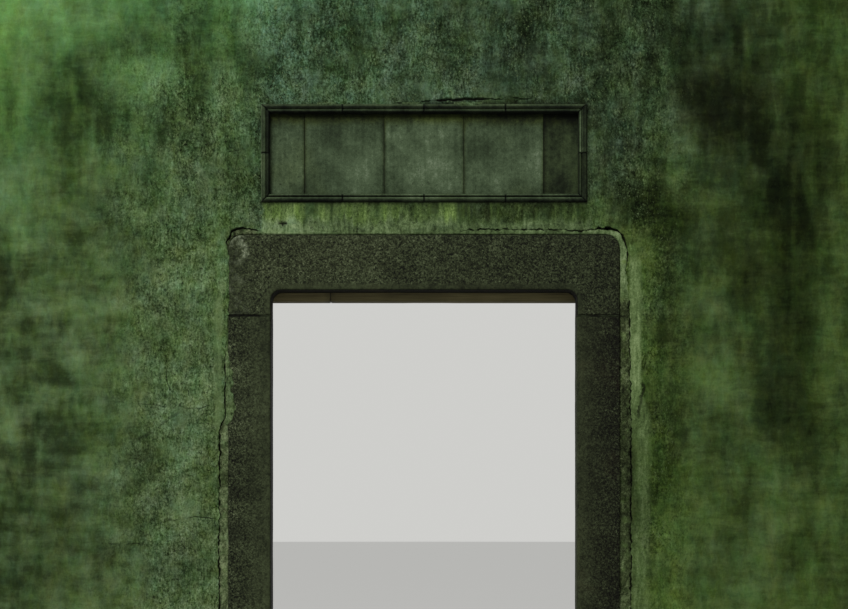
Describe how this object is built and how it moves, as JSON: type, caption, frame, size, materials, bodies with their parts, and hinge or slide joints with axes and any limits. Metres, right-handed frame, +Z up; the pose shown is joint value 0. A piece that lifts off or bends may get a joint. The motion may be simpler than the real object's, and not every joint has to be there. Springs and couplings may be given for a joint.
{
  "type": "stone-framed garden gateway",
  "caption": "Garden gateway with a stone surround in a plastered brick wall, a framed bare tablet over its lintel and a tiled coping.",
  "frame": {"origin": "on the ground, midway between the wall's ends and midway through its thickness", "axes": "+X along the wall to the right as seen from the front, +Y from the front face to the back, +Z up"},
  "size_m": [5, 0.7666, 4.7048],
  "materials": {
    "granite": "pecked granite, weathered dark",
    "mortar": "rough lime mortar",
    "plaster": "weathered lime plaster with dark streaks",
    "masonry": "grey brick",
    "square_brick": "rubbed grey brick",
    "timber": "weathered bare timber",
    "tile": "unglazed grey clay"
  },
  "bodies": {
    "root": {"sill_stone": "granite", "base_left": "granite", "base_right": "granite", "jamb_left": "granite", "jamb_right": "granite", "lintel_stone": "granite", "bed_joints": "mortar", "mortar_margin": "mortar", "head_board": "timber", "lintel_beam_1": "timber", "lintel_beam_2": "timber", "lintel_beam_3": "timber", "wall_left": "masonry", "wall_right": "masonry", "wall_over": "masonry", "plaster_front": "plaster", "plaster_back": "plaster", "plaster_end_left": "plaster", "plaster_end_right": "plaster", "plaster_reveal_left": "plaster", "plaster_reveal_right": "plaster", "tablet_panel_1": "square_brick", "tablet_panel_2": "square_brick", "tablet_panel_3": "square_brick", "tablet_panel_4": "square_brick", "tablet_panel_5": "square_brick", "frame_top": "square_brick", "frame_bottom": "square_brick", "frame_left": "square_brick", "frame_right": "square_brick", "corbel_front_lower": "masonry", "corbel_front_upper": "masonry", "corbel_back_lower": "masonry", "corbel_back_upper": "masonry", "tile_bed": "mortar", "pan_tiles_front": "tile", "pan_tiles_back": "tile", "cover_tiles_front": "tile", "cover_tiles_back": "tile", "ridge_foot": "mortar", "ridge_course": "masonry", "ridge_tiles": "tile", "ridge_end_left": "masonry", "ridge_end_right": "masonry"}
  },
  "joints": []
}
